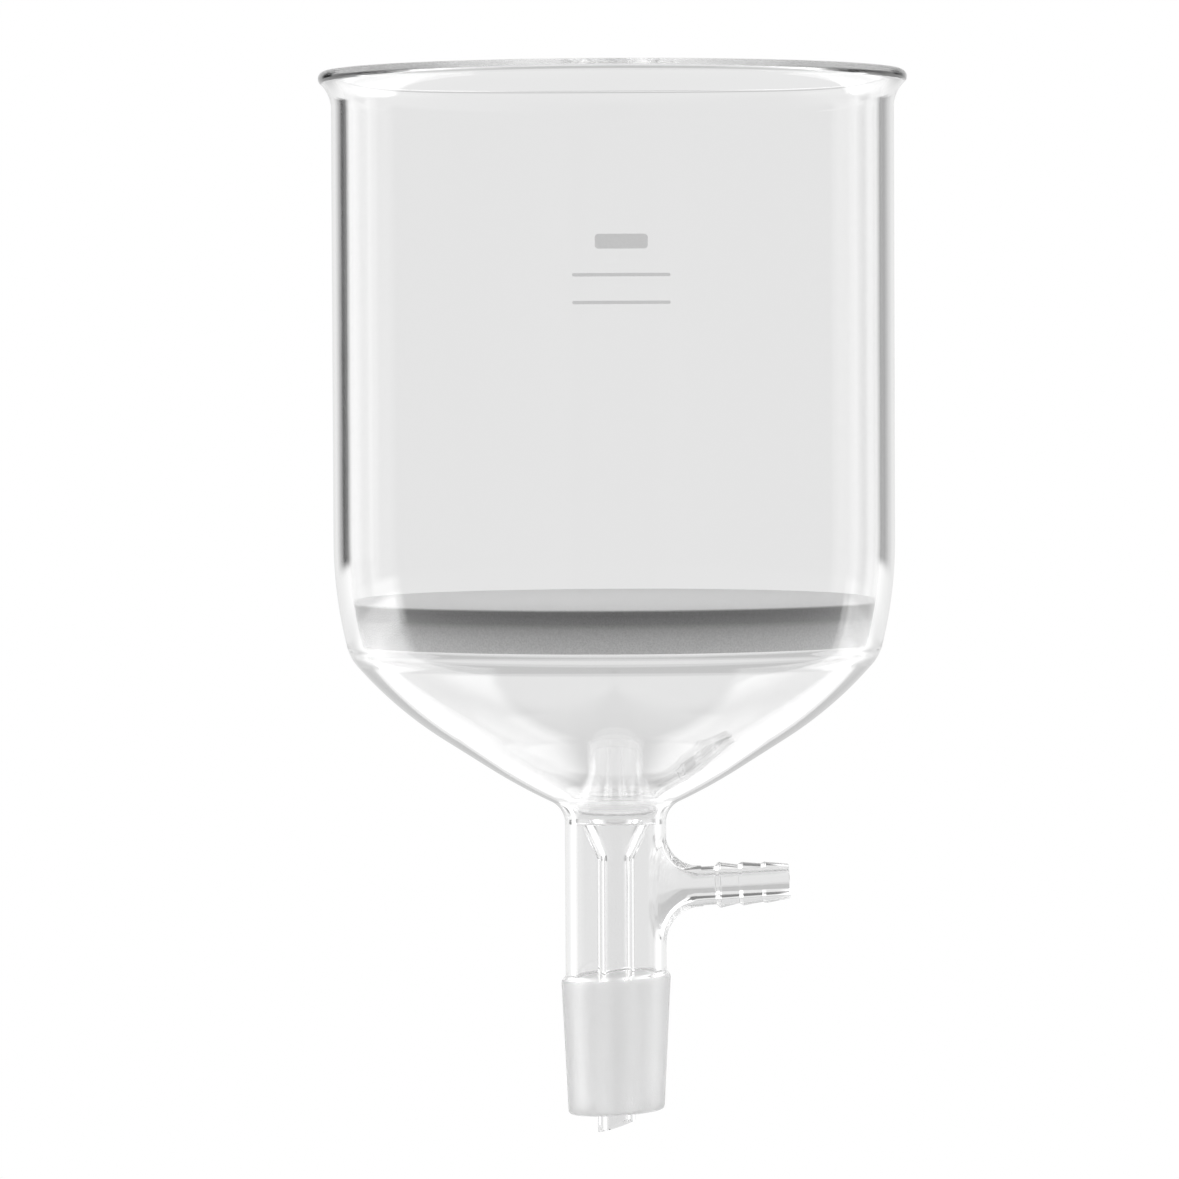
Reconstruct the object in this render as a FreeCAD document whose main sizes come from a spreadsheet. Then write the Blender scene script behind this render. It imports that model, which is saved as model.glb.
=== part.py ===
import FreeCAD, Part
import math
import os
import Sketcher
from collections import namedtuple

# A fritted-glass filter funnel: a cup with a sintered disc, a conical bottom, and a jacketed stem
# with a vacuum branch, a drip tube and a standard ground joint. It is blown and fused glass, so
# its sub-parts meet face to face at their welds.
#
# Frame: +Z is up, along the funnel's axis. The origin is on that axis, in the plane of the ground
# joint's wide end. The hose barb points to +X. Millimetres and degrees.

DIMENSIONS = {
    # Cup and conical bottom, on the outer surface. A lean is the wall's angle from vertical.
    "cup_outer_radius": 61.5,
    "cup_wall": 3.2,
    "flare_start_height": 191,
    "flare_radius": 7.5,
    "flare_lean": 46.5,
    "taper_top_height": 96.5,
    "taper_radius": 95,
    "taper_lean": 14,
    "weld_corner_radius": 10,
    "weld_lean": 29,
    "shoulder_radius": 11,
    "shoulder_lean": 41.1,
    "cone_top_radius": 86,
    "cone_lean": 57.6,
    "cone_length": 12.2,
    "cone_bottom_radius": 120,
    "cone_bottom_lean": 64.8,
    # Sintered disc
    "disc_bottom_height": 74.4,
    "disc_thickness": 9.3,
    # Stem and its branch
    "stem_outer_radius": 11.1,
    "stem_wall": 2.2,
    "branch_height": 19.5,
    "branch_rise": 3,
    "branch_outer_radius": 4.5,
    "branch_bore_radius": 2.3,
    "branch_blend_radius": 7,
    "branch_reach": 19,
    # Hose barb, along its own axis from the stem's axis
    "barb_end": 38.2,
    "barb_root_radius": 4.25,
    "barb_count": 3,
    "barb_crest_radius": 5.05,
    "barb_crest_step": 0.25,
    "barb_first_crest": 22.8,
    "barb_pitch": 5.05,
    "barb_rise_length": 0.8,
    "barb_tip_radius": 3.8,
    "barb_edge_round": 0.35,
    # Ground joint, standard taper 24/29
    "joint_wide_radius": 12,
    "joint_length": 29,
    "joint_taper_per_length": 0.05,
    "joint_shoulder_height": 1.5,
    "joint_shoulder_radius": 1.6,
    "joint_lip_radius": 1.2,
    "joint_bore_bottom_radius": 8,
    # Drip tube
    "drip_outer_radius": 4.1,
    "drip_bore_radius": 2.4,
    "drip_reach": 33.6,
    "drip_tip_slope": 18,
    "drip_flare_height": 26.8,
    "drip_flare_lean": 25,
    "drip_bore_flare_height": 27.5,
    "drip_mouth_radius": 6,
    "drip_seal_height": 1.55,
}

doc = FreeCAD.newDocument("fritted_filter_funnel")
dims = doc.addObject("Spreadsheet::Sheet", "dims")
for row, (alias, value) in enumerate(DIMENSIONS.items(), start=1):
    dims.set(f"A{row}", alias)
    dims.set(f"B{row}", str(value))
    dims.setAlias(f"B{row}", alias)
doc.recompute()

# Lengths that differ by less are taken as the same.
TOLERANCE = 0.01

# A corner of an outline: expressions for its distance from the axis and its height, and the arc
# that leads to the next corner, or None for a straight edge.
Corner = namedtuple("Corner", "across up arc", defaults=[None])
# An arc's centre lies to the left or the right of the way from its first corner to its second.
Arc = namedtuple("Arc", "side radius")
# A place on the outer surface of a blown wall, with the wall's lean there.
Place = namedtuple("Place", "across up lean")


def bend(start, radius, lean):
    """Where a wall ends that bends from its lean at start to a new one. The radius is that of the
    outer surface, and it is negative where the wall curls outwards."""
    across = f"({start.across} - ({radius}) * (cos({start.lean}) - cos({lean})))"
    up = f"({start.up} - ({radius}) * (sin({lean}) - sin({start.lean})))"
    return Place(across, up, lean)


def run(start, length):
    """Where a straight wall of this length ends, below start."""
    across = f"({start.across} - {length} * sin({start.lean}))"
    up = f"({start.up} - {length} * cos({start.lean}))"
    return Place(across, up, start.lean)


def inside(place, wall):
    """The point of the inner surface that faces a place on the outer one."""
    return f"({place.across} - {wall} * cos({place.lean}))", f"({place.up} + {wall} * sin({place.lean}))"


def origin_plane(body, role):
    return next(plane for plane in body.Origin.OriginFeatures if plane.Role == role)


def arc_between(first, last, side, radius):
    """A sketch arc of up to half a turn from first to last, and its points' numbers there."""
    chord = last.sub(first)
    to_centre = math.sqrt(max(radius**2 - (chord.Length / 2) ** 2, 0))
    normal = FreeCAD.Vector(-chord.y, chord.x, 0).normalize()
    sign = 1 if side == "left" else -1
    centre = (first + last) * 0.5 + normal * (sign * to_centre)
    circle = Part.Circle(centre, FreeCAD.Vector(0, 0, 1), radius)
    ends = (first, last) if side == "left" else (last, first)
    angles = [math.atan2(end.y - centre.y, end.x - centre.x) for end in ends]
    if angles[1] < angles[0]:
        angles[1] += 2 * math.pi
    return Part.ArcOfCircle(circle, *angles), (1, 2) if side == "left" else (2, 1)


def outline(body, name, corners):
    """A closed sketch in the body's XZ plane. Each corner and each arc's radius is bound to the
    sheet."""
    sketch = body.newObject("Sketcher::SketchObject", name)
    sketch.AttachmentSupport = (origin_plane(body, "XZ_Plane"), "")
    sketch.MapMode = "FlatFace"
    points = [
        FreeCAD.Vector(sketch.evalExpression(c.across), sketch.evalExpression(c.up), 0)
        for c in corners
    ]
    ends = []
    for index, corner in enumerate(corners):
        first, last = points[index], points[(index + 1) % len(points)]
        if corner.arc is None:
            sketch.addGeometry(Part.LineSegment(first, last), False)
            ends.append((1, 2))
        else:
            radius = sketch.evalExpression(corner.arc.radius)
            edge, numbers = arc_between(first, last, corner.arc.side, radius)
            sketch.addGeometry(edge, False)
            ends.append(numbers)
    for index in range(len(corners)):
        following = (index + 1) % len(corners)
        joint = Sketcher.Constraint("Coincident", index, ends[index][1], following, ends[following][0])
        sketch.addConstraint(joint)
    for index, corner in enumerate(corners):
        at = (index, ends[index][0])
        for kind, value, expression in (
            ("DistanceX", points[index].x, corner.across),
            ("DistanceY", points[index].y, corner.up),
        ):
            number = sketch.addConstraint(Sketcher.Constraint(kind, -1, 1, *at, value))
            sketch.setExpression(f"Constraints[{number}]", expression)
        if corner.arc is not None:
            radius = sketch.evalExpression(corner.arc.radius)
            number = sketch.addConstraint(Sketcher.Constraint("Radius", index, radius))
            sketch.setExpression(f"Constraints[{number}]", corner.arc.radius)
    return sketch


def turned_body(label, corners):
    """A body of revolution about its own Z axis."""
    body = doc.addObject("PartDesign::Body", label)
    sketch = outline(body, f"{label}_outline", corners)
    turned = body.newObject("PartDesign::Revolution", f"{label}_turned")
    turned.Profile = sketch
    turned.ReferenceAxis = (sketch, ["V_Axis"])
    turned.Angle = 360
    doc.recompute()
    return body


def lay_along_branch(item):
    """Turns an object's own Z axis onto the branch's axis, which rises a little away from +Z."""
    item.Placement.Rotation = FreeCAD.Rotation(FreeCAD.Vector(0, 1, 0), 90)
    item.setExpression("Placement.Base.z", "dims.branch_height")
    item.setExpression("Placement.Rotation.Angle", "90 - dims.branch_rise")


def round_edges(body, name, edges, radius):
    """Rounds edges of the body's tip, which are given by their numbers, counted from 1."""
    tip = body.Tip
    rounded = body.newObject("PartDesign::Fillet", name)
    rounded.Base = (tip, [f"Edge{number}" for number in edges])
    rounded.setExpression("Radius", radius)
    doc.recompute()
    return rounded


# The wall's outer surface from the rim down to the neck, which the cup and the bottom share.
WALL = "dims.cup_wall"
flare_start = Place("dims.cup_outer_radius", "dims.flare_start_height", "0")
rim = bend(flare_start, "-dims.flare_radius", "dims.flare_lean")
taper_top = Place("dims.cup_outer_radius", "dims.taper_top_height", "0")
taper_end = bend(taper_top, "dims.taper_radius", "dims.taper_lean")
weld = bend(taper_end, "dims.weld_corner_radius", "dims.weld_lean")
shoulder_end = bend(weld, "dims.shoulder_radius", "dims.shoulder_lean")
cone_top = bend(shoulder_end, "dims.cone_top_radius", "dims.cone_lean")
cone_end = run(cone_top, "dims.cone_length")
neck_start = bend(cone_end, "dims.cone_bottom_radius", "dims.cone_bottom_lean")
NECK_TURN = "(1 - cos(dims.cone_bottom_lean))"
neck_radius = f"(({neck_start.across} - dims.stem_outer_radius) / {NECK_TURN})"
neck = bend(neck_start, f"-{neck_radius}", "0")
STEM_BORE = "(dims.stem_outer_radius - dims.stem_wall)"


def cup_cylinder():
    crown = (
        f"{rim.across} - {WALL} / 2 * (cos({rim.lean}) - sin({rim.lean}))",
        f"{rim.up} + {WALL} / 2 * (sin({rim.lean}) + cos({rim.lean}))",
    )
    lip = Arc("right", f"{WALL} / 2")
    return turned_body(
        "cup_cylinder",
        [
            Corner(rim.across, rim.up, Arc("left", "dims.flare_radius")),
            Corner(flare_start.across, flare_start.up),
            Corner(taper_top.across, taper_top.up, Arc("right", "dims.taper_radius")),
            Corner(taper_end.across, taper_end.up, Arc("right", "dims.weld_corner_radius")),
            Corner(weld.across, weld.up),
            Corner(*inside(weld, WALL), Arc("left", f"dims.weld_corner_radius - {WALL}")),
            Corner(*inside(taper_end, WALL), Arc("left", f"dims.taper_radius - {WALL}")),
            Corner(*inside(taper_top, WALL)),
            Corner(*inside(flare_start, WALL), Arc("right", f"dims.flare_radius + {WALL}")),
            Corner(*inside(rim, WALL), lip),
            Corner(*crown, lip),
        ],
    )


def sintered_disc():
    """A plate whose side follows the cup's tapered inner wall, and lies against it."""
    bore = f"(dims.cup_outer_radius - {WALL})"
    bend_radius = f"(dims.taper_radius - {WALL})"
    bottom = "dims.disc_bottom_height"
    top = "(dims.disc_bottom_height + dims.disc_thickness)"
    radii = [
        f"({bore} - {bend_radius} + sqrt({bend_radius}^2 - (dims.taper_top_height - {level})^2))"
        for level in (bottom, top)
    ]
    return turned_body(
        "sintered_disc",
        [
            Corner("0", bottom),
            Corner(radii[0], bottom, Arc("left", bend_radius)),
            Corner(radii[1], top),
            Corner("0", top),
        ],
    )


def lower_cone():
    inner_neck = inside(neck_start, WALL)
    inner_radius = f"(({inner_neck[0]} - {STEM_BORE}) / {NECK_TURN})"
    inner_height = f"({inner_neck[1]} - {inner_radius} * sin(dims.cone_bottom_lean))"
    return turned_body(
        "lower_cone",
        [
            Corner(weld.across, weld.up, Arc("right", "dims.shoulder_radius")),
            Corner(shoulder_end.across, shoulder_end.up, Arc("right", "dims.cone_top_radius")),
            Corner(cone_top.across, cone_top.up),
            Corner(cone_end.across, cone_end.up, Arc("right", "dims.cone_bottom_radius")),
            Corner(neck_start.across, neck_start.up, Arc("left", neck_radius)),
            Corner(neck.across, neck.up),
            Corner(STEM_BORE, neck.up),
            Corner(STEM_BORE, inner_height, Arc("right", inner_radius)),
            Corner(*inner_neck, Arc("left", f"dims.cone_bottom_radius - {WALL}")),
            Corner(*inside(cone_end, WALL)),
            Corner(*inside(cone_top, WALL), Arc("left", f"dims.cone_top_radius - {WALL}")),
            Corner(*inside(shoulder_end, WALL), Arc("left", f"dims.shoulder_radius - {WALL}")),
            Corner(*inside(weld, WALL)),
        ],
    )


def stem_jacket():
    """A tube with a branch drawn out of its side, hollow and blended both outside and inside."""
    body = doc.addObject("PartDesign::Body", "stem_jacket")
    volumes = []
    stages = (
        ("Additive", "dims.stem_outer_radius", "dims.branch_outer_radius", "dims.branch_blend_radius"),
        ("Subtractive", STEM_BORE, "dims.branch_bore_radius", "dims.branch_blend_radius + dims.stem_wall"),
    )
    for kind, tube_radius, branch_radius, blend_radius in stages:
        tube = body.newObject(f"PartDesign::{kind}Cylinder", f"tube_{kind.lower()}")
        # The seam of the tube's surface is turned away from the branch.
        tube.Placement.Rotation = FreeCAD.Rotation(FreeCAD.Vector(0, 0, 1), 180)
        tube.setExpression("Placement.Base.z", "dims.joint_shoulder_height")
        tube.setExpression("Radius", tube_radius)
        tube.setExpression("Height", f"{neck.up} - dims.joint_shoulder_height")
        branch = body.newObject(f"PartDesign::{kind}Cylinder", f"branch_{kind.lower()}")
        lay_along_branch(branch)
        branch.setExpression("Radius", branch_radius)
        branch.setExpression("Height", "dims.branch_reach")
        doc.recompute()
        wall_radius = body.evalExpression(tube_radius)
        crossing = [
            number
            for number, edge in enumerate(branch.Shape.Edges, start=1)
            if edge.Curve.TypeId == "Part::GeomBSplineCurve" and near_wall(edge, wall_radius)
        ]
        round_edges(body, f"blend_{kind.lower()}", crossing, blend_radius)
        volumes.append(body.Shape.Volume)
    if volumes[1] >= volumes[0]:
        raise ValueError("the stem's bore cuts nothing")
    return body


def near_wall(edge, radius):
    """Whether an edge lies on the upright cylinder of this radius."""
    places = (edge.valueAt(edge.FirstParameter), edge.valueAt(edge.LastParameter))
    return all(abs(math.hypot(place.x, place.y) - radius) < TOLERANCE for place in places)


def drip_tube():
    """A tube that flares into a ring seal at its top and is cut at a slope at its tip."""
    # The flare is a cone. The gap between it and the stem's bore ends in a round groove.
    seal_top = f"({neck.up} + dims.drip_seal_height)"
    lean = "dims.drip_flare_lean"
    gap = f"({STEM_BORE} - dims.drip_outer_radius)"
    rise = f"({neck.up} - dims.drip_flare_height)"
    groove = f"(({gap} * cos({lean}) - {rise} * sin({lean})) / (1 + cos({lean})))"
    body = turned_body(
        "drip_tube",
        [
            Corner(STEM_BORE, seal_top),
            Corner(STEM_BORE, neck.up, Arc("left", groove)),
            Corner(f"{STEM_BORE} - {groove} * (1 + cos({lean}))", f"{neck.up} + {groove} * sin({lean})"),
            Corner("dims.drip_outer_radius", "dims.drip_flare_height"),
            Corner("dims.drip_outer_radius", "-dims.drip_reach"),
            Corner("dims.drip_bore_radius", "-dims.drip_reach"),
            Corner("dims.drip_bore_radius", "dims.drip_bore_flare_height"),
            Corner("dims.drip_mouth_radius", seal_top),
        ],
    )
    whole = body.Shape.Volume
    # The tip's slope drops towards -X. The cut takes what lies under it.
    side = "2 * dims.drip_outer_radius"
    rise_at = "dims.drip_outer_radius * tan(dims.drip_tip_slope)"
    cut_outline = outline(
        body,
        "tip_outline",
        [
            Corner(f"-{side}", f"-dims.drip_reach - {rise_at}"),
            Corner(side, f"-dims.drip_reach - {rise_at}"),
            Corner(side, f"-dims.drip_reach + 3 * {rise_at}"),
        ],
    )
    cut = body.newObject("PartDesign::Pocket", "tip_cut")
    cut.Profile = cut_outline
    cut.Type = "ThroughAll"
    cut.SideType = "Symmetric"
    doc.recompute()
    if body.Shape.Volume >= whole:
        raise ValueError("the drip tube's tip isn't cut")
    return body


def hose_barb():
    """Ribs that slope towards the free end and are steep towards the stem. Built along Z."""
    corners = [Corner("dims.barb_root_radius", "dims.branch_reach")]
    for number in range(int(dims.barb_count)):
        crest_up = f"dims.barb_first_crest + {number} * dims.barb_pitch"
        corners.append(Corner("dims.barb_root_radius", f"{crest_up} - dims.barb_rise_length"))
        corners.append(Corner(f"dims.barb_crest_radius - {number} * dims.barb_crest_step", crest_up))
    corners.append(Corner("dims.barb_tip_radius", "dims.barb_end"))
    corners.append(Corner("dims.branch_bore_radius", "dims.barb_end"))
    corners.append(Corner("dims.branch_bore_radius", "dims.branch_reach"))
    body = turned_body("hose_barb", corners)
    weld_height = dims.branch_reach
    bore = dims.branch_bore_radius
    rings = [
        number
        for number, edge in enumerate(body.Shape.Edges, start=1)
        if edge.Curve.TypeId == "Part::GeomCircle"
        and edge.Curve.Radius > bore + TOLERANCE
        and edge.Curve.Center.z > weld_height + TOLERANCE
    ]
    round_edges(body, "ring_rounds", rings, "dims.barb_edge_round")
    lay_along_branch(body)
    return body


def ground_joint():
    taper = "dims.joint_taper_per_length"
    lip_up = "(-dims.joint_length + dims.joint_lip_radius)"
    lip_across = f"(dims.joint_wide_radius + {taper} * {lip_up})"
    shoulder = Arc("right", "dims.joint_shoulder_radius")
    lip = Arc("right", "dims.joint_lip_radius")
    return turned_body(
        "ground_joint",
        [
            Corner("dims.stem_outer_radius", "dims.joint_shoulder_height", shoulder),
            Corner("dims.joint_wide_radius", "0"),
            Corner(lip_across, lip_up, lip),
            Corner(f"{lip_across} - dims.joint_lip_radius", "-dims.joint_length"),
            Corner("dims.joint_bore_bottom_radius", "-dims.joint_length"),
            Corner(STEM_BORE, "0"),
            Corner(STEM_BORE, "dims.joint_shoulder_height"),
        ],
    )


SUB_PARTS = [
    cup_cylinder(),
    sintered_disc(),
    lower_cone(),
    stem_jacket(),
    drip_tube(),
    hose_barb(),
    ground_joint(),
]
doc.recompute()

for item in doc.Objects:
    if {"Invalid", "Error"} & set(item.State):
        raise ValueError(f"{item.Label} failed: {item.State}")
os.makedirs("parts", exist_ok=True)
for body in SUB_PARTS:
    shape = body.Shape
    if shape.isNull() or not shape.isValid() or len(shape.Solids) != 1:
        raise ValueError(f"{body.Label} isn't one valid solid")
    shape.exportStep(f"parts/{body.Label}.step")
    print(f"{body.Label}: {shape.Volume / 1000:.2f} cm3, box {shape.BoundBox}")
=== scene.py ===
import bmesh
import bpy
import math
from mathutils import Matrix, Vector


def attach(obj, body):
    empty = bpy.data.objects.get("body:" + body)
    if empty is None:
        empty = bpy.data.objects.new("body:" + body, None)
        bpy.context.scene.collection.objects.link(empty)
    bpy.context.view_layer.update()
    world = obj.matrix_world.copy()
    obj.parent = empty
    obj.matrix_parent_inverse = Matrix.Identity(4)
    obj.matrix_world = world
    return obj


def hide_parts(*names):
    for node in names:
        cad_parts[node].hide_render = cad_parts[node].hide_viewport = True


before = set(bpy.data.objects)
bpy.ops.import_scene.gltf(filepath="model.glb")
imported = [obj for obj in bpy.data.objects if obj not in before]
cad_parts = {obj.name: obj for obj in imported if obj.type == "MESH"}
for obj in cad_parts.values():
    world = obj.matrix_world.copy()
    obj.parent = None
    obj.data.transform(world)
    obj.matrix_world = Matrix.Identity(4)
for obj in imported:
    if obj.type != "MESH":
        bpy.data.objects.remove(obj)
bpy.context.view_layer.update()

# Lengths below are in millimetres, as in the CAD source. new_piece() turns them into metres.
MM = 0.001
CUP_RADIUS = 61.5
WALL = 3.2
TAPER_START = 96.5
TAPER_RADIUS = 95
STEM_RADIUS = 11.1
STEM_BORE = 8.9
STEM_WALL = STEM_RADIUS - STEM_BORE
NECK_TOP = 34.4972
BRANCH_HEIGHT = 19.5
BRANCH_RISE = math.radians(3)
BRANCH_RADIUS = 4.5
BRANCH_BORE = 2.3
BRANCH_REACH = 19.0
JOINT_HEIGHT = 1.5
JOINT_RADIUS = 12.0
JOINT_LENGTH = 29.0
JOINT_SLOPE = 0.05
DRIP_RADIUS = 4.1
DRIP_BORE = 2.4
DRIP_STRAIGHT_TOP = 24
DRIP_STRAIGHT = 57.6
BARB_ROOT = 4.25
BARB_LENGTH = 19.2
BARB_END = 38.2
FIRST_RIB = 22.8
RIB_PITCH = 5.05
AROUND = 256


def walk(start, steps):
    """Samples of (across, up, lean) along a wall. A step is ("bend", radius, lean, count) or
    ("run", length, count)."""
    across, up, lean = start
    path = [(across, up, lean)]
    for step in steps:
        if step[0] == "bend":
            radius, target, count = step[1:]
            for number in range(1, count + 1):
                angle = lean + (target - lean) * number / count
                first, now = math.radians(lean), math.radians(angle)
                path.append((
                    across - radius * (math.cos(first) - math.cos(now)),
                    up - radius * (math.sin(now) - math.sin(first)),
                    angle,
                ))
            across, up, lean = path[-1]
        else:
            length, count = step[1:]
            now = math.radians(lean)
            for number in range(1, count + 1):
                part = length * number / count
                path.append((across - part * math.sin(now), up - part * math.cos(now), lean))
            across, up, lean = path[-1]
    return path


def offset(sample, wall):
    """The point at a depth behind a sample of the outer wall."""
    across, up, lean = sample
    angle = math.radians(lean)
    return (across - wall * math.cos(angle), up + wall * math.sin(angle))


def arc(centre, radius, first, last, count):
    """Points from first to last angle, in degrees."""
    steps = (math.radians(first + (last - first) * number / count) for number in range(count + 1))
    return [(centre[0] + radius * math.cos(a), centre[1] + radius * math.sin(a)) for a in steps]


def rounded(points, radius, count=5):
    """An open line with its inner corners rounded."""
    result = [points[0]]
    for before, corner, after in zip(points, points[1:], points[2:]):
        corner_at = Vector(corner)
        back, on = (Vector(before) - corner_at), (Vector(after) - corner_at)
        half = back.angle(on) / 2
        reach = min(radius / math.tan(half), 0.45 * back.length, 0.45 * on.length)
        if reach < 1e-4:
            result.append(corner)
            continue
        start, end = corner_at + back.normalized() * reach, corner_at + on.normalized() * reach
        for number in range(count + 1):
            t = number / count
            spot = start * (1 - t) ** 2 + corner_at * (2 * t * (1 - t)) + end * t**2
            result.append((spot.x, spot.y))
    result.append(points[-1])
    return result


def new_piece(name, mesh, materials):
    """An object in metres from a mesh in millimetres."""
    for material in materials:
        mesh.materials.append(material)
    mesh.shade_smooth()
    mesh.set_sharp_from_angle(angle=math.radians(40))
    mesh.transform(Matrix.Scale(MM, 4))
    piece = bpy.data.objects.new(name, mesh)
    bpy.context.scene.collection.objects.link(piece)
    return piece


def lathe(name, profile, weld_edges=(), around=AROUND, clear_edges=()):
    """A closed profile turned about Z. A profile edge numbered in weld_edges makes faces of the
    second material, one in clear_edges faces of the third. Points on the axis become one vertex."""
    mesh = bpy.data.meshes.new(name)
    form = bmesh.new()
    rings = []
    for across, up in profile:
        if across < 1e-6:
            rings.append([form.verts.new((0, 0, up))] * around)
        else:
            rings.append([
                form.verts.new((
                    across * math.cos(2 * math.pi * k / around),
                    across * math.sin(2 * math.pi * k / around),
                    up,
                ))
                for k in range(around)
            ])
    for number, ring in enumerate(rings):
        following = rings[(number + 1) % len(rings)]
        for k in range(around):
            corners = [ring[k], following[k], following[(k + 1) % around], ring[(k + 1) % around]]
            kept = list(dict.fromkeys(corners))
            if len(kept) < 3:
                continue
            face = form.faces.new(kept)
            face.material_index = 1 if number in weld_edges else 2 if number in clear_edges else 0
    bmesh.ops.recalc_face_normals(form, faces=form.faces)
    form.to_mesh(mesh)
    form.free()
    return mesh


# ---------------------------------------------------------------- materials
def fresh_material(name):
    material = bpy.data.materials.new(name)
    material.use_nodes = True
    nodes, links = material.node_tree.nodes, material.node_tree.links
    nodes.clear()
    output = nodes.new("ShaderNodeOutputMaterial")
    return material, nodes, links, output


def texture_bump(nodes, links, coords, scale, detail, distance, shader):
    """Relief from smooth noise, a distance in metres deep."""
    noise = nodes.new("ShaderNodeTexNoise")
    noise.inputs["Scale"].default_value = scale
    noise.inputs["Detail"].default_value = detail
    links.new(coords.outputs["Object"], noise.inputs["Vector"])
    bump = nodes.new("ShaderNodeBump")
    bump.inputs["Strength"].default_value = 1
    bump.inputs["Distance"].default_value = distance
    links.new(noise.outputs["Fac"], bump.inputs["Height"])
    links.new(bump.outputs["Normal"], shader.inputs["Normal"])
    return noise


def spread(nodes, links, source, low, high):
    """Noise from about 0.3 to 0.7 stretched over a range."""
    stretch = nodes.new("ShaderNodeMapRange")
    stretch.inputs["From Min"].default_value = 0.3
    stretch.inputs["From Max"].default_value = 0.7
    stretch.inputs["To Min"].default_value = low
    stretch.inputs["To Max"].default_value = high
    links.new(source.outputs["Fac"], stretch.inputs["Value"])
    return stretch.outputs["Result"]


def glass_material(name, tint, rough, scale, detail, relief):
    """Borosilicate glass. Its roughness varies over the range rough, and its relief is in metres."""
    material, nodes, links, output = fresh_material(name)
    shader = nodes.new("ShaderNodeBsdfPrincipled")
    shader.inputs["Base Color"].default_value = (tint, tint, tint, 1)
    shader.inputs["Transmission Weight"].default_value = 1
    shader.inputs["IOR"].default_value = 1.473
    coords = nodes.new("ShaderNodeTexCoord")
    noise = texture_bump(nodes, links, coords, scale, detail, relief, shader)
    links.new(spread(nodes, links, noise, *rough), shader.inputs["Roughness"])
    clear = nodes.new("ShaderNodeBsdfTransparent")
    clear.inputs["Color"].default_value = (0.94, 0.94, 0.94, 1)
    path = nodes.new("ShaderNodeLightPath")
    mix = nodes.new("ShaderNodeMixShader")
    links.new(path.outputs["Is Shadow Ray"], mix.inputs["Fac"])
    links.new(shader.outputs["BSDF"], mix.inputs[1])
    links.new(clear.outputs["BSDF"], mix.inputs[2])
    links.new(mix.outputs["Shader"], output.inputs["Surface"])
    return material


def weld_material():
    """Faces where two pieces are fused. They are clear, so the glass reads as one."""
    material, nodes, links, output = fresh_material("fused_glass")
    clear = nodes.new("ShaderNodeBsdfTransparent")
    links.new(clear.outputs["BSDF"], output.inputs["Surface"])
    return material


GLASS = glass_material("blown_glass", 0.995, (0, 0.012), 55, 1, 0.00001)
WELD = weld_material()
FROSTED = glass_material("frosted_glass", 0.87, (0.6, 0.76), 2500, 3, 0.00003)


def sintered_material():
    """Fused glass grains with fine pores. Its colour holds painted shade by height: lightest on the
    underside, darker up the side to darkest near the top, lighter again on the top face.
    """
    material, nodes, links, output = fresh_material("sintered_glass_grain")
    shader = nodes.new("ShaderNodeBsdfPrincipled")
    shader.inputs["Roughness"].default_value = 0.9
    coords = nodes.new("ShaderNodeTexCoord")
    split = nodes.new("ShaderNodeSeparateXYZ")
    links.new(coords.outputs["Object"], split.inputs["Vector"])
    # Painted shade: grey against height, 0.9 at the disc's underside falling to 0.225 near its top, and 0.82
    # on the top face.
    painted_shade_height = nodes.new("ShaderNodeMapRange")
    painted_shade_height.inputs["From Min"].default_value = 0.0744
    painted_shade_height.inputs["From Max"].default_value = 0.0837
    links.new(split.outputs["Z"], painted_shade_height.inputs["Value"])
    shade = nodes.new("ShaderNodeValToRGB")
    ramp = shade.color_ramp.elements
    for position in (0.32, 0.54, 0.68, 0.86, 0.95):
        ramp.new(position)
    for stop, level in zip(ramp, (0.9, 0.74, 0.56, 0.31, 0.225, 0.225, 0.82)):
        stop.color = (level, level, level, 1)
    links.new(painted_shade_height.outputs["Result"], shade.inputs["Fac"])
    grain = texture_bump(nodes, links, coords, 2600, 4, 0.00015, shader)
    speck = nodes.new("ShaderNodeMix")
    speck.data_type = "RGBA"
    speck.blend_type = "MULTIPLY"
    speck.inputs["Factor"].default_value = 1
    links.new(shade.outputs["Color"], speck.inputs[6])
    links.new(spread(nodes, links, grain, 0.86, 1.06), speck.inputs[7])
    links.new(speck.outputs[2], shader.inputs["Base Color"])
    links.new(shader.outputs["BSDF"], output.inputs["Surface"])
    return material


SINTERED = sintered_material()

# ---------------------------------------------------------------- the wall of cup and cone
def bead(point):
    """The small ring of glass that is left inside where cup and cone are fused."""
    across, up = point
    return (across - 0.08 * math.exp(-0.5 * ((up - 73.2) / 0.45) ** 2), up)


RIM = (63.837, 196.44, 46.5)  # across, up, lean
cup_path = walk(
    RIM,
    [("bend", -7.5, 0, 14), ("run", 94.5, 24), ("bend", TAPER_RADIUS, 14, 12), ("bend", 10, 29, 16)],
)
lip_centre = offset(RIM, WALL / 2)
lip = arc(lip_centre, WALL / 2, 180 - RIM[2], -RIM[2], 12)
outer = [(a, u) for a, u, _ in cup_path]
inner = [bead(offset(sample, WALL)) for sample in reversed(cup_path)]
cup_profile = outer + inner + lip[1:-1]
cup = new_piece(
    "cup_cylinder_glass",
    lathe("cup_cylinder_glass", cup_profile, weld_edges=(len(outer) - 1,)),
    [GLASS, WELD],
)
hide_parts("cup_cylinder")
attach(cup, "root")

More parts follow.
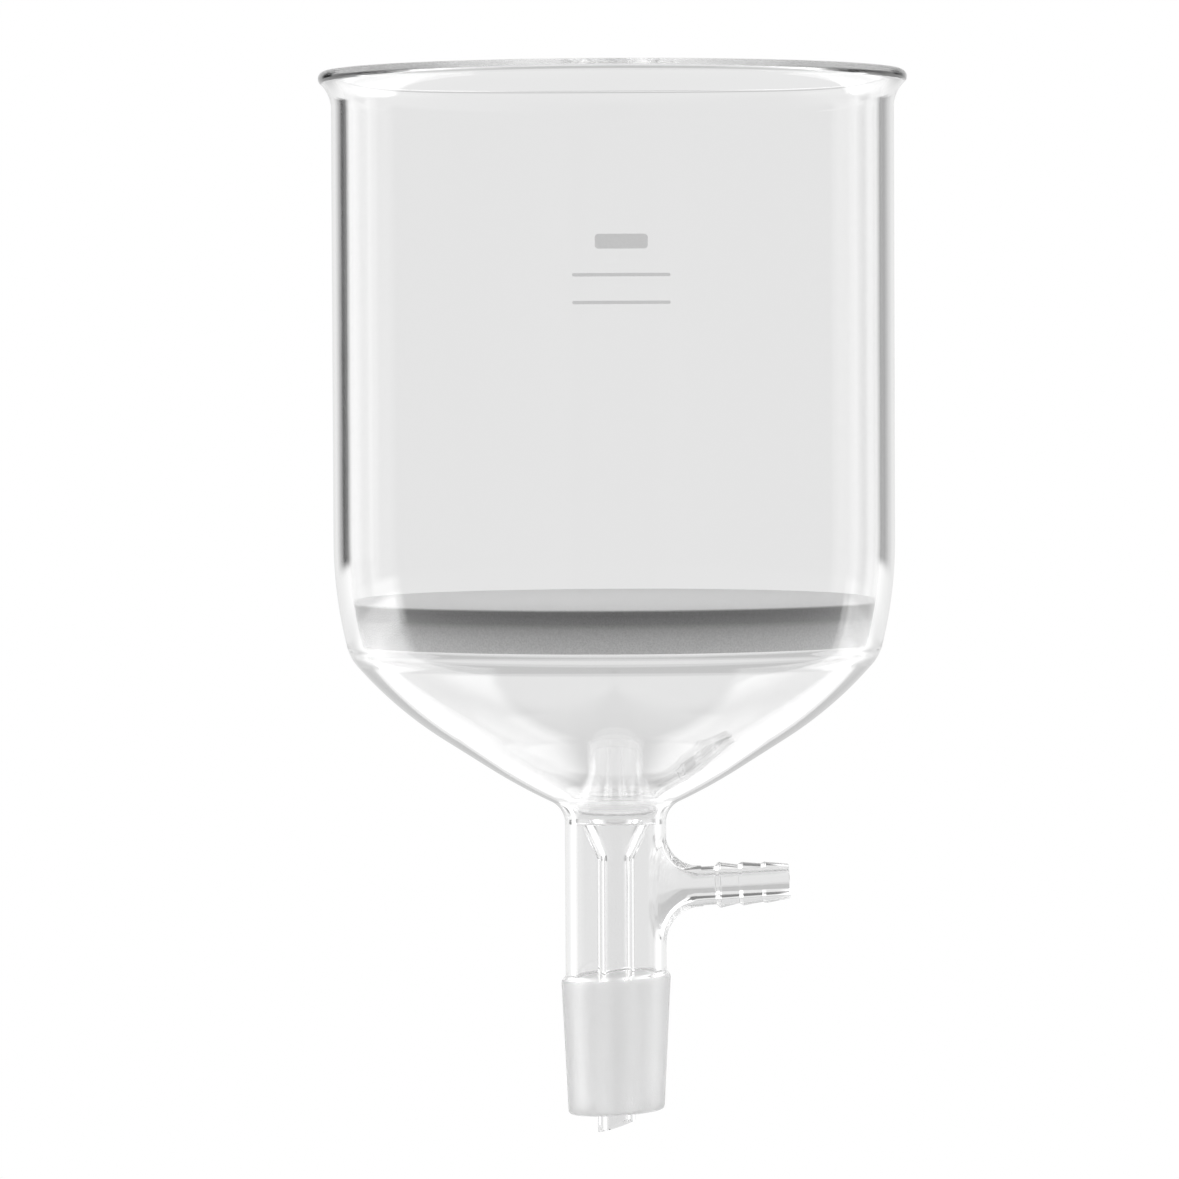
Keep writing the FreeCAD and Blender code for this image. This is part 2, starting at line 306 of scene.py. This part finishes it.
NECK_LEAN = 64.8
cone_steps = [
    ("bend", 11, 41.1, 16), ("bend", 86, 57.6, 32), ("run", 12.2, 8), ("bend", 120, NECK_LEAN, 16),
]
cone_path = walk(cup_path[-1], cone_steps)
neck_start = cone_path[-1]
neck_turn = 1 - math.cos(math.radians(NECK_LEAN))
neck_radius = (neck_start[0] - STEM_RADIUS) / neck_turn
neck_path = walk(neck_start, [("bend", -neck_radius, 0, 20)])
inner_neck = offset(neck_start, WALL)
inner_radius = (inner_neck[0] - STEM_BORE) / neck_turn
inner_neck_path = walk((*inner_neck, NECK_LEAN), [("bend", -inner_radius, 0, 20)])
outer = [(a, u) for a, u, _ in cone_path + neck_path[1:]]
inner = [(a, u) for a, u, _ in reversed(inner_neck_path[1:])]
inner += [bead(offset(sample, WALL)) for sample in reversed(cone_path)]
neck_up = outer[-1][1]
profile = outer + [(STEM_BORE, neck_up)] + inner
cone = new_piece(
    "lower_cone_glass",
    lathe("lower_cone_glass", profile, weld_edges=(len(outer) - 1, len(profile) - 1)),
    [GLASS, WELD],
)
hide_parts("lower_cone")
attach(cone, "root")

# ---------------------------------------------------------------- sintered disc
def inner_wall(up):
    """The cup's inner radius at a height in its tapered part."""
    reach = TAPER_RADIUS - WALL
    return CUP_RADIUS - WALL - reach + math.sqrt(reach**2 - (TAPER_START - up) ** 2)


AIR_GAP = 0.15
disc_bottom, disc_top = 74.4, 83.7
disc_levels = [disc_bottom + (disc_top - disc_bottom) * k / 6 for k in range(7)]
side = [(inner_wall(up) - AIR_GAP, up) for up in disc_levels]
disc_line = rounded([(0, disc_bottom), (40, disc_bottom), *side, (40, disc_top), (0, disc_top)], 0.4)
disc = new_piece("sintered_disc_grain", lathe("sintered_disc_grain", disc_line), [SINTERED])
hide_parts("sintered_disc")
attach(disc, "root")

# ---------------------------------------------------------------- stem jacket
JOINT_TILT = 0.055


def skew(point):
    """The joint was fused on a little askew: its rings rise towards +X. The skew fades up the stem."""
    x, y, z = point
    weight = min(max((9 - z) / 6, 0), 1)
    return (x, y, z + JOINT_TILT * x * weight * weight * (3 - 2 * weight))


BLEND_ABOVE, BLEND_BELOW = 7.0, 7.9
ALONG = Vector((math.cos(BRANCH_RISE), 0, math.sin(BRANCH_RISE)))
UPWARD = Vector((-math.sin(BRANCH_RISE), 0, math.cos(BRANCH_RISE)))
SIDEWAYS = Vector((0, 1, 0))
ROOT = Vector((0, 0, BRANCH_HEIGHT))


def blend_line(angle, count):
    """Points and normals on the outer surface from the branch's end, over the blend, to the stem.
    The angle runs round the branch, from +Y towards +Z."""
    spoke = SIDEWAYS * math.cos(angle) + UPWARD * math.sin(angle)
    radius = BLEND_ABOVE + (BLEND_BELOW - BLEND_ABOVE) * (1 - math.sin(angle)) / 2
    across = BRANCH_RADIUS + radius
    flat = math.sqrt((STEM_RADIUS + radius) ** 2 - (across * spoke.y) ** 2)
    reach = (flat - across * spoke.x) / ALONG.x
    centre = ROOT + ALONG * reach + spoke * across
    inward = Vector((-centre.x, -centre.y, 0)).normalized()
    line = []
    for k in range(5):
        along = BRANCH_REACH + (reach - BRANCH_REACH) * k / 4
        line.append((ROOT + ALONG * along + spoke * BRANCH_RADIUS, spoke))
    for number in range(1, count + 1):
        direction = (-spoke).slerp(inward, number / count)
        line.append((centre + direction * radius, -direction))
    return line


def stem_point(around, up):
    """A point and normal on the stem's outer cylinder. The angle runs from +X towards +Y."""
    normal = Vector((math.cos(around), math.sin(around), 0))
    return normal * STEM_RADIUS + Vector((0, 0, up)), normal


def jacket_mesh():
    """One surface of points with normals, doubled inwards by the wall's thickness."""
    columns, half_window = AROUND, 36
    low, high = 5.5, 33.0
    below = [JOINT_HEIGHT + (low - JOINT_HEIGHT) * k / 6 for k in range(6)]
    window = [low + (high - low) * k / 80 for k in range(81)]
    top = [high + (NECK_TOP - high) * k / 2 for k in range(1, 3)]
    levels = below + window + top
    points, faces, welds = [], [], []
    grid = {}

    def add(point, normal):
        points.append((point, normal))
        return len(points) - 1

    def index(column, row):
        key = (column % columns, row)
        if key not in grid:
            grid[key] = add(*stem_point(2 * math.pi * key[0] / columns, levels[row]))
        return grid[key]

    first_row, last_row = len(below), len(below) + 80
    for row in range(len(levels) - 1):
        for column in range(-columns // 2, columns // 2):
            if -half_window <= column < half_window and first_row <= row < last_row:
                continue
            corners = ((column, row), (column + 1, row), (column + 1, row + 1), (column, row + 1))
            faces.append(tuple(index(*corner) for corner in corners))
    edge = [(column, last_row) for column in range(half_window, -half_window, -1)]
    edge += [(-half_window, row) for row in range(last_row, first_row, -1)]
    edge += [(column, first_row) for column in range(-half_window, half_window)]
    edge += [(half_window, row) for row in range(first_row, last_row)]
    boundary = [index(*place) for place in edge]
    rings = []
    middle = ROOT.z + 0.6
    half_arc = 2 * math.pi * half_window / columns * STEM_RADIUS
    for member in boundary:
        point = points[member][0]
        around = math.atan2(point.y, point.x) * STEM_RADIUS
        angle = math.atan2((point.z - middle) / (high - low) * 2, around / half_arc)
        line = blend_line(angle, 28)
        last_point, _ = line[-1]
        last_around, last_up = math.atan2(last_point.y, last_point.x), last_point.z
        end_around, end_up = math.atan2(point.y, point.x), point.z
        for k in range(1, 5):
            t = k / 5
            around_now = last_around + (end_around - last_around) * t
            line.append(stem_point(around_now, last_up + (end_up - last_up) * t))
        rings.append([add(*item) for item in line] + [member])
    for number, line in enumerate(rings):
        following = rings[(number + 1) % len(rings)]
        for k in range(len(line) - 1):
            faces.append((line[k], line[k + 1], following[k + 1], following[k]))
    loops = [
        [index(column, 0) for column in range(columns)],
        [index(column, len(levels) - 1) for column in range(columns)][::-1],
        [line[0] for line in rings],
    ]
    count = len(points)
    inner = [point - normal * STEM_WALL for point, normal in points]
    vertices = [skew(point) for point, _ in points] + [skew(point) for point in inner]
    every = faces + [tuple(count + v for v in reversed(face)) for face in faces]
    weld_start = len(every)
    for loop in loops:
        for a, b in zip(loop, loop[1:] + loop[:1]):
            every.append((a, b, count + b, count + a))
    mesh = bpy.data.meshes.new("stem_jacket_glass")
    mesh.from_pydata(vertices, [], every)
    form = bmesh.new()
    form.from_mesh(mesh)
    form.faces.ensure_lookup_table()
    for face in form.faces[weld_start:]:
        face.material_index = 1
    bmesh.ops.recalc_face_normals(form, faces=form.faces)
    form.to_mesh(mesh)
    form.free()
    return mesh


jacket = new_piece("stem_jacket_glass", jacket_mesh(), [GLASS, WELD])
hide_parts("stem_jacket")
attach(jacket, "root")

# ---------------------------------------------------------------- drip tube
SEAL_TOP = NECK_TOP + 1.55
FLARE_LEAN = math.radians(25)
# The tip is cut along a slanted plane. Rows below CUT_START are moved onto it by degrees.
CUT_START, TIP = -24.0, -33.6
CUT_HEIGHT, CUT_SLOPE = -32.268, 0.3249
FLARE_START = 26.8
gap, fall = STEM_BORE - DRIP_RADIUS, NECK_TOP - FLARE_START
groove = (gap * math.cos(FLARE_LEAN) - fall * math.sin(FLARE_LEAN)) / (1 + math.cos(FLARE_LEAN))
groove_arc = arc((STEM_BORE - groove, NECK_TOP), groove, 0, 155, 8)
flare = [groove_arc[-1], (DRIP_RADIUS, FLARE_START), (DRIP_RADIUS, 20.0)]
outside = rounded(flare, 2.5, 6)[1:-1]
outside += [(DRIP_RADIUS, DRIP_STRAIGHT_TOP - DRIP_STRAIGHT * k / 24) for k in range(25)]
bore = [(DRIP_BORE, TIP + DRIP_STRAIGHT * k / 24) for k in range(25)]
bore += rounded([(DRIP_BORE, DRIP_STRAIGHT_TOP), (DRIP_BORE, 27.5), (6.0, SEAL_TOP)], 2.5, 6)[1:]
drip_profile = [(STEM_BORE, SEAL_TOP)] + groove_arc + outside + bore
drip_mesh = lathe("drip_tube_glass", drip_profile, weld_edges=(0,), around=96)
for vertex in drip_mesh.vertices:
    if vertex.co.z < CUT_START:
        slanted = CUT_HEIGHT + CUT_SLOPE * vertex.co.x
        part = (vertex.co.z - CUT_START) / (TIP - CUT_START)
        vertex.co.z = CUT_START + part * (slanted - CUT_START)
drip = new_piece("drip_tube_glass", drip_mesh, [GLASS, WELD])
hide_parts("drip_tube")
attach(drip, "root")

# ---------------------------------------------------------------- hose barb
barb_line = [(BARB_ROOT, BRANCH_REACH)]
for number in range(3):
    crest = FIRST_RIB + RIB_PITCH * number
    barb_line += [(BARB_ROOT, crest - 0.8), (5.05 - 0.25 * number, crest)]
barb_line += [(3.8, BARB_END), (BRANCH_BORE, BARB_END)]
barb_profile = rounded(barb_line, 0.35, 4)
barb_profile += [(BRANCH_BORE, BRANCH_REACH + BARB_LENGTH * k / 8) for k in range(7, -1, -1)]
barb_mesh = lathe("hose_barb_glass", barb_profile, weld_edges=(len(barb_profile) - 1,), around=96)
barb_mesh.transform(Matrix.Translation(ROOT) @ Matrix.Rotation(math.pi / 2 - BRANCH_RISE, 4, "Y"))
barb = new_piece("hose_barb_glass", barb_mesh, [GLASS, WELD])
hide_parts("hose_barb")
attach(barb, "root")

# ---------------------------------------------------------------- ground joint
shoulder = arc((10.4, -0.16), 1.6, 64, 0, 8)
shoulder[0], shoulder[-1] = (STEM_RADIUS, JOINT_HEIGHT), (JOINT_RADIUS, 0.0)
CLEAR_SHOULDER = 4  # edges of the shoulder that the grinding left clear
GROUND = 27.8
LOWER_BORE = 8.0
side = [(JOINT_RADIUS - JOINT_SLOPE * GROUND * k / 20, -GROUND * k / 20) for k in range(1, 20)]
foot = [
    side[-1], (JOINT_RADIUS - JOINT_SLOPE * JOINT_LENGTH, -JOINT_LENGTH),
    (LOWER_BORE, -JOINT_LENGTH), (STEM_BORE, 0.0),
]
lip_out = rounded(foot, 0.9, 6)[1:-1]
joint_bore = [
    (LOWER_BORE + 0.9 * k / 10, -JOINT_LENGTH + JOINT_LENGTH * k / 10) for k in range(1, 11)
]
ground = shoulder + side
joint_profile = ground + lip_out + joint_bore + [(STEM_BORE, JOINT_HEIGHT)]
last_edge = len(joint_profile) - 1
joint_mesh = lathe(
    "ground_joint_frosted",
    joint_profile,
    weld_edges=(last_edge,),
    around=128,
    clear_edges=(*range(CLEAR_SHOULDER), *range(len(ground) + 6, last_edge)),
)
for vertex in joint_mesh.vertices:
    vertex.co = skew(vertex.co)
joint = new_piece("ground_joint_frosted", joint_mesh, [FROSTED, WELD, GLASS])
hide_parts("ground_joint")
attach(joint, "root")

# ---------------------------------------------------------------- marking
def enamel_material():
    """Fired grey enamel, a little uneven and grainy."""
    material, nodes, links, output = fresh_material("fired_enamel")
    shader = nodes.new("ShaderNodeBsdfPrincipled")
    coords = nodes.new("ShaderNodeTexCoord")
    grain = texture_bump(nodes, links, coords, 3000, 2, 0.00001, shader)
    links.new(spread(nodes, links, grain, 0.4, 0.6), shader.inputs["Roughness"])
    shade = nodes.new("ShaderNodeValToRGB")
    shade.color_ramp.elements[0].color = (0.67, 0.67, 0.67, 1)
    shade.color_ramp.elements[1].color = (0.76, 0.76, 0.76, 1)
    links.new(grain.outputs["Fac"], shade.inputs["Fac"])
    links.new(shade.outputs["Color"], shader.inputs["Base Color"])
    links.new(shader.outputs["BSDF"], output.inputs["Surface"])
    return material


ENAMEL = enamel_material()
MARK_CENTRE = 1.5


def enamel_field(name, width, height, corner, centre_z):
    """A blank enamel field with rounded corners, laid on the front of the cup."""
    columns, thickness = 48, 0.03
    vertices, faces = [], []
    for number in range(columns + 1):
        x = -math.cos(math.pi * number / columns) * width / 2
        into_corner = max(abs(x) - (width / 2 - corner), 0)
        half = height / 2 - corner + math.sqrt(max(corner**2 - into_corner**2, 0))
        half = max(half, 0.02)
        angle = (x + MARK_CENTRE) / CUP_RADIUS
        for out in (CUP_RADIUS, CUP_RADIUS + thickness):
            for up in (-half, half):
                vertices.append((out * math.sin(angle), -out * math.cos(angle), centre_z + up))
    for number in range(columns):
        now, after = 4 * number, 4 * number + 4
        for a, b in ((0, 1), (1, 3), (3, 2), (2, 0)):
            faces.append((now + a, now + b, after + b, after + a))
    last = 4 * columns
    faces += [(0, 2, 3, 1), (last, last + 1, last + 3, last + 2)]
    mesh = bpy.data.meshes.new(name)
    mesh.from_pydata(vertices, [], faces)
    form = bmesh.new()
    form.from_mesh(mesh)
    bmesh.ops.recalc_face_normals(form, faces=form.faces)
    form.to_mesh(mesh)
    form.free()
    piece = new_piece(name, mesh, [ENAMEL])
    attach(piece, "root")


enamel_field("enamel_field", 11.1, 3.1, 0.75, 161.0)
enamel_field("ruled_line_upper", 20.7, 0.7, 0.3, 154.0)
enamel_field("ruled_line_lower", 20.7, 0.7, 0.3, 148.2)

# ---------------------------------------------------------------- stage
scene = bpy.context.scene
world = bpy.data.worlds.new("studio")
scene.world = world
world.use_nodes = True
nodes, links = world.node_tree.nodes, world.node_tree.links
nodes.clear()
output = nodes.new("ShaderNodeOutputWorld")
coords = nodes.new("ShaderNodeTexCoord")
split = nodes.new("ShaderNodeSeparateXYZ")
links.new(coords.outputs["Generated"], split.inputs["Vector"])
azimuth = nodes.new("ShaderNodeMath")
azimuth.operation = "ARCTAN2"
links.new(split.outputs["X"], azimuth.inputs[0])
links.new(split.outputs["Y"], azimuth.inputs[1])
turn = nodes.new("ShaderNodeMapRange")
turn.inputs["From Min"].default_value = -math.pi
turn.inputs["From Max"].default_value = math.pi
links.new(azimuth.outputs[0], turn.inputs["Value"])


def level_ramp(stops):
    """A curve of brightness against azimuth, from -180 to 180 degrees."""
    ramp = nodes.new("ShaderNodeValToRGB")
    elements = ramp.color_ramp.elements
    elements.remove(elements[0])
    for number, (degrees, level) in enumerate(stops):
        position = (degrees + 180) / 360
        stop = elements[0] if number == 0 else elements.new(position)
        stop.position = position
        stop.color = (level / PEAK, level / PEAK, level / PEAK, 1)
    links.new(turn.outputs["Result"], ramp.inputs["Fac"])
    return ramp.outputs["Color"]


# Brightness against azimuth in degrees from +Y, for layers of the studio from its floor upwards.
# Each layer ends at an elevation in degrees and fades into the next over its last number.
PEAK = 5.0
LAYERS = [
    (
        [
            (-180, 0.6), (-90, 0.8), (-50, 0.8), (-30, 0.4), (-12, 0.2), (12, 0.2), (30, 0.4), (50, 0.8),
            (90, 0.8), (180, 0.6),
        ],
        -61, 4,
    ),
    (
        [
            (-180, 0.5), (-110, 0.6), (-79, 0.8), (-76, 2.6), (-60, 2.2), (-45, 1.6), (-30, 1.8), (-19, 1.7),
            (-12, 0.2), (12, 0.2), (19, 1.7), (30, 1.8), (45, 1.6), (60, 2.2), (64, 2.4), (66, 0.8),
            (110, 0.6), (180, 0.5),
        ],
        -48, 6,
    ),
    (
        [
            (-180, 0.5), (-110, 0.6), (-79, 0.8), (-76, 2.6), (-60, 2.4), (-50, 1.8), (-38, 1.3), (-33, 1.8),
            (-22, 1.8), (-12, 1.3), (-8, 0.85), (8, 0.85), (12, 1.3), (22, 1.8), (33, 1.8), (38, 1.3),
            (50, 1.8), (60, 2.4), (64, 2.6), (66, 0.8), (110, 0.6), (180, 0.5),
        ],
        -22, 3,
    ),
    (
        [
            (-180, 0.5), (-110, 0.6), (-78, 0.8), (-75, 2.6), (-50, 2.4), (-42, 1.5), (-30, 1.1), (-16, 0.55),
            (16, 0.55), (30, 1.1), (42, 1.5), (50, 2.3), (61, 2.6), (64, 2.6), (66, 0.8), (110, 0.6),
            (180, 0.5),
        ],
        -14.5, 3,
    ),
    (
        [
            (-180, 0.5), (-110, 0.6), (-78, 0.8), (-75, 4.4), (-66, 3.4), (-50, 1.9), (-42, 1.3), (-30, 1.0),
            (-16, 0.55), (16, 0.55), (30, 1.0), (42, 1.3), (50, 1.7), (61, 2.5), (64, 3.2), (66, 0.8),
            (110, 0.6), (180, 0.5),
        ],
        -9.5, 1.5,
    ),
    (
        [
            (-180, 0.5), (-110, 0.6), (-78, 0.7), (-75, 1.7), (-50, 1.35), (-42, 1.05), (-16, 0.7),
            (16, 0.7), (42, 1.05), (50, 1.3), (64, 1.6), (66, 0.7), (110, 0.6), (180, 0.5),
        ],
        -6.8, 1.5,
    ),
    (
        [
            (-180, 0.5), (-110, 0.55), (-66, 0.65), (-64, 0.75), (-62.5, 1.2), (-39, 1.1), (-30, 0.95),
            (-20.5, 0.85), (-14, 0.82), (14, 0.82), (20.5, 0.85), (30, 0.95), (39, 1.1), (62.5, 1.15),
            (64, 0.75), (66, 0.65), (110, 0.5), (180, 0.5),
        ],
        -3.4, 1,
    ),
    (
        [
            (-180, 0.5), (-110, 0.55), (-66, 0.65), (-64, 0.75), (-62.5, 1.3), (-39, 1.15), (-36.5, 0.3),
            (-34, 0.0), (-31.5, 0.1), (-27.5, 0.03), (-24.5, 0.4), (-20.5, 0.85), (-14, 0.83), (14, 0.83),
            (20.5, 0.75), (24.5, 0.45), (29, 0.42), (31.5, 0.38), (34, 0.2), (36.5, 0.5), (39, 1.0),
            (62.5, 1.15), (64, 0.75), (66, 0.65), (110, 0.5), (180, 0.5),
        ],
        15, 6,
    ),
    (
        [
            (-180, 0.5), (-90, 0.7), (-60, 1.1), (-35, 0.9), (-25, 0.75), (25, 0.75), (35, 0.9), (60, 1.1),
            (180, 0.5),
        ],
        48, 8,
    ),
    ([(-180, 0.9), (180, 0.9)], 90, 1),
]
rise = nodes.new("ShaderNodeMath")
rise.operation = "ARCSINE"
links.new(split.outputs["Z"], rise.inputs[0])
seen = level_ramp(LAYERS[0][0])
for (_, edge, fade), (stops, _, _) in zip(LAYERS, LAYERS[1:]):
    above = nodes.new("ShaderNodeMapRange")
    above.interpolation_type = "SMOOTHSTEP"
    above.inputs["From Min"].default_value = math.radians(edge - fade / 2)
    above.inputs["From Max"].default_value = math.radians(edge + fade / 2)
    links.new(rise.outputs[0], above.inputs["Value"])
    blend = nodes.new("ShaderNodeMix")
    blend.data_type = "RGBA"
    links.new(above.outputs["Result"], blend.inputs["Factor"])
    links.new(seen, blend.inputs[6])
    links.new(level_ramp(stops), blend.inputs[7])
    seen = blend.outputs[2]
studio = nodes.new("ShaderNodeBackground")
studio.inputs["Strength"].default_value = PEAK
links.new(seen, studio.inputs["Color"])
white = nodes.new("ShaderNodeBackground")
rays = nodes.new("ShaderNodeLightPath")
mix = nodes.new("ShaderNodeMixShader")
white.inputs["Color"].default_value = (1, 1, 1, 1)
links.new(rays.outputs["Is Camera Ray"], mix.inputs["Fac"])
links.new(studio.outputs["Background"], mix.inputs[1])
links.new(white.outputs["Background"], mix.inputs[2])
links.new(mix.outputs["Shader"], output.inputs["Surface"])

FLOOR_HEIGHT = -0.25
floor_mesh = bpy.data.meshes.new("floor")
form = bmesh.new()
bmesh.ops.create_circle(form, cap_ends=True, radius=1.2, segments=96)
form.to_mesh(floor_mesh)
form.free()
floor = bpy.data.objects.new("floor", floor_mesh)
floor.location.z = FLOOR_HEIGHT
scene.collection.objects.link(floor)
FLOOR, nodes, links, output = fresh_material("pale_floor")
shader = nodes.new("ShaderNodeBsdfPrincipled")
shader.inputs["Roughness"].default_value = 0.8
shader.inputs["Emission Color"].default_value = (1, 1, 1, 1)
shader.inputs["Emission Strength"].default_value = 0.4
coords = nodes.new("ShaderNodeTexCoord")
weave = texture_bump(nodes, links, coords, 120, 2, 0.0001, shader)
links.new(spread(nodes, links, weave, 0.88, 0.92), shader.inputs["Base Color"])
links.new(shader.outputs["BSDF"], output.inputs["Surface"])
floor_mesh.materials.append(FLOOR)
floor.visible_transmission = False
floor.visible_glossy = False

TARGET = Vector((-0.00548, 0, 0.08575))
CAMERA_DISTANCE = 1.4
CAMERA_HEIGHT = 0.139
FRAME_WIDTH = 0.25855
SENSOR_WIDTH = 36
ROLL = math.radians(-0.26)
camera_data = bpy.data.cameras.new("camera")
camera_data.sensor_width = SENSOR_WIDTH
camera_data.clip_end = 100
camera = bpy.data.objects.new("camera", camera_data)
scene.collection.objects.link(camera)
camera.location = (TARGET.x, -CAMERA_DISTANCE, CAMERA_HEIGHT)
sight = TARGET - camera.location
camera_data.lens = SENSOR_WIDTH * sight.length / FRAME_WIDTH
facing = sight.to_track_quat("-Z", "Y")
camera.rotation_mode = "QUATERNION"
camera.rotation_quaternion = facing @ Matrix.Rotation(ROLL, 4, "Z").to_quaternion()
scene.camera = camera
scene.view_settings.view_transform = "Standard"
# Light goes round inside the rim and the neck many times, so a lower limit makes them too dark.
BOUNCES = 96
scene.cycles.max_bounces = BOUNCES
scene.cycles.transmission_bounces = BOUNCES
scene.cycles.glossy_bounces = BOUNCES
scene.cycles.transparent_max_bounces = 64
